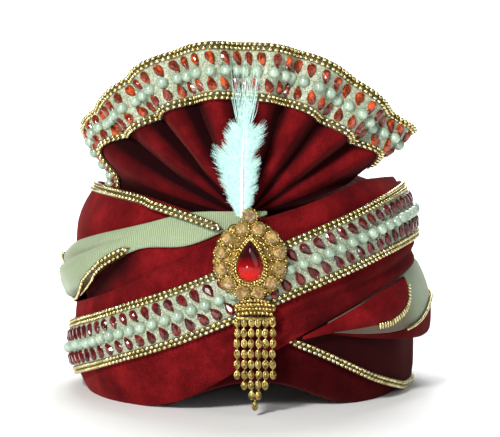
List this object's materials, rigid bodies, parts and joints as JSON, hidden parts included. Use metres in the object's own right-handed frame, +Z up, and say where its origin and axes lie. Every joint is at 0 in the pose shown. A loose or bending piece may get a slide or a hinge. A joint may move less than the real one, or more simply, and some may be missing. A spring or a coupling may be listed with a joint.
{
  "type": "turban",
  "caption": "Ready-tied wedding turban: crossed velvet wraps, net sash, pleated fan crest with bead lace, jewelled brooch, tassel and feather.",
  "frame": {"origin": "middle of the bounding box, at the floor that the rim rests on", "axes": "+Z up out of the crown, -Y the wearer's forehead and the brooch, +X the side to which the laced wrap rises"},
  "size_m": [0.2624, 0.2712, 0.2362],
  "materials": {
    "velvet": "pile velvet",
    "dark_velvet": "pile velvet",
    "cream": "ribbed net",
    "lace": "beaded net",
    "gold": "polished, antiqued in the recesses",
    "red_stone": "polished",
    "pale_stone": "cut and polished",
    "feather": "down"
  },
  "bodies": {
    "root": {"crown_cloth": "velvet", "crown_cap": "velvet", "head_band": "velvet", "padded_body": "dark_velvet", "rising_wrap": "velvet", "falling_wrap": "velvet", "wrap_lace": "lace", "left_sash": "cream", "right_sash": "cream", "right_sash_lip": "velvet", "right_flap": "velvet", "falling_trim_upper": "gold", "falling_trim_lower": "gold", "left_trim_lower": "gold", "left_trim_upper": "gold", "right_trim_lip": "gold", "right_trim_flap": "gold", "fan": "velvet", "fan_lace": "lace", "brooch_setting": "gold", "brooch_pin": "gold", "centre_stone": "red_stone", "top_stone": "pale_stone", "tassel": "gold", "feather": "feather", "ring_stone_01": "pale_stone", "ring_stone_02": "pale_stone", "ring_stone_03": "pale_stone", "ring_stone_04": "pale_stone", "ring_stone_05": "pale_stone", "ring_stone_06": "pale_stone", "ring_stone_07": "pale_stone", "ring_stone_08": "pale_stone", "ring_stone_09": "pale_stone", "ring_stone_10": "pale_stone", "ring_stone_11": "pale_stone", "ring_stone_12": "pale_stone"}
  },
  "joints": []
}
